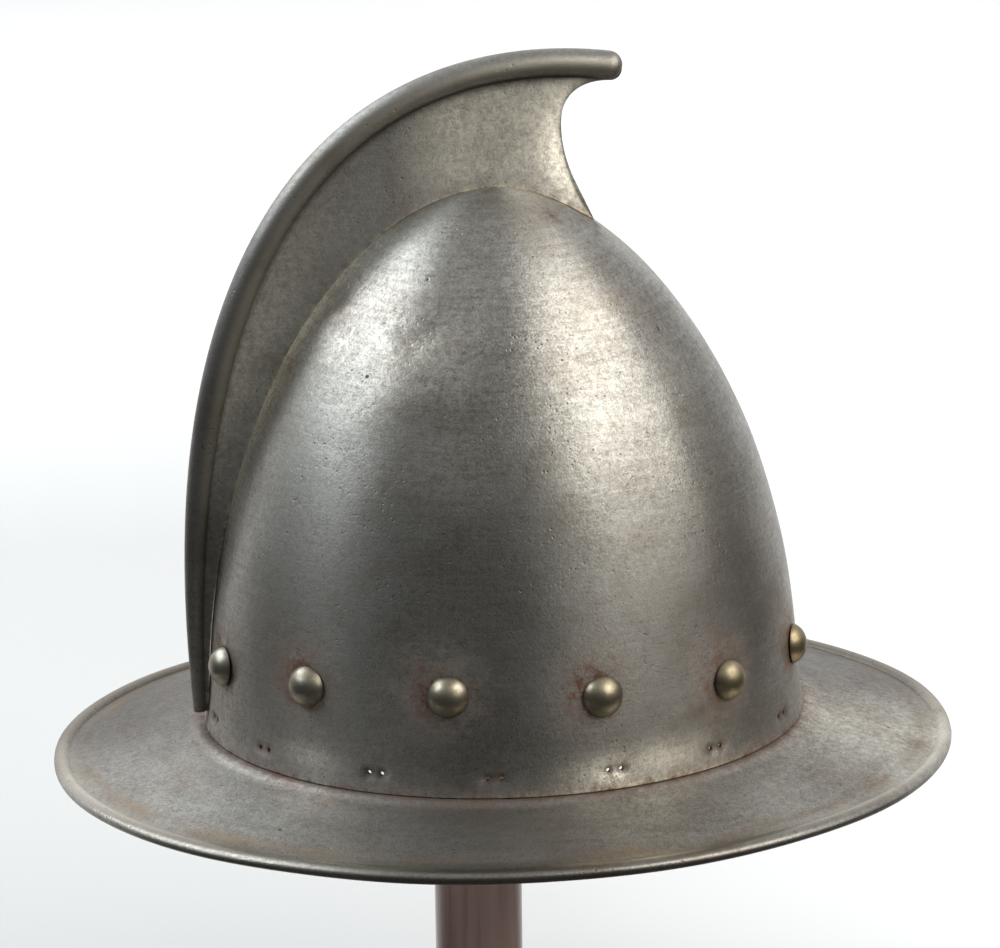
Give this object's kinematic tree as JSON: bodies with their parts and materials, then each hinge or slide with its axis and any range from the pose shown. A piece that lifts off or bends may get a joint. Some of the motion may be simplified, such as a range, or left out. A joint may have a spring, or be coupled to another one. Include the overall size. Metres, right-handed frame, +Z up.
{
  "type": "cabasset helmet on a stand",
  "caption": "Steel cabasset helmet with a tall rolled comb, a rolled drooping brim and domed rivets, on a plain wooden stand.",
  "frame": {"origin": "on the floor under the middle of the brim, at the underside of the stand's base", "axes": "+Z up, +X the way the comb's beak points, +Y across the helmet"},
  "size_m": [0.3398, 0.2758, 0.4287],
  "materials": {
    "aged_steel": "aged satin with fine pitting",
    "aged_brass": "tarnished satin",
    "dark_wood": "dark satin stain"
  },
  "bodies": {
    "root": {"skull": "aged_steel", "brim": "aged_steel", "comb": "aged_steel", "rivet_01": "aged_brass", "rivet_02": "aged_brass", "rivet_03": "aged_brass", "rivet_04": "aged_brass", "rivet_05": "aged_brass", "rivet_06": "aged_brass", "rivet_07": "aged_brass", "rivet_08": "aged_brass", "rivet_09": "aged_brass", "rivet_10": "aged_brass", "rivet_11": "aged_brass", "rivet_12": "aged_brass", "stand_post": "dark_wood", "stand_head": "dark_wood", "stand_base": "dark_wood"}
  },
  "joints": []
}
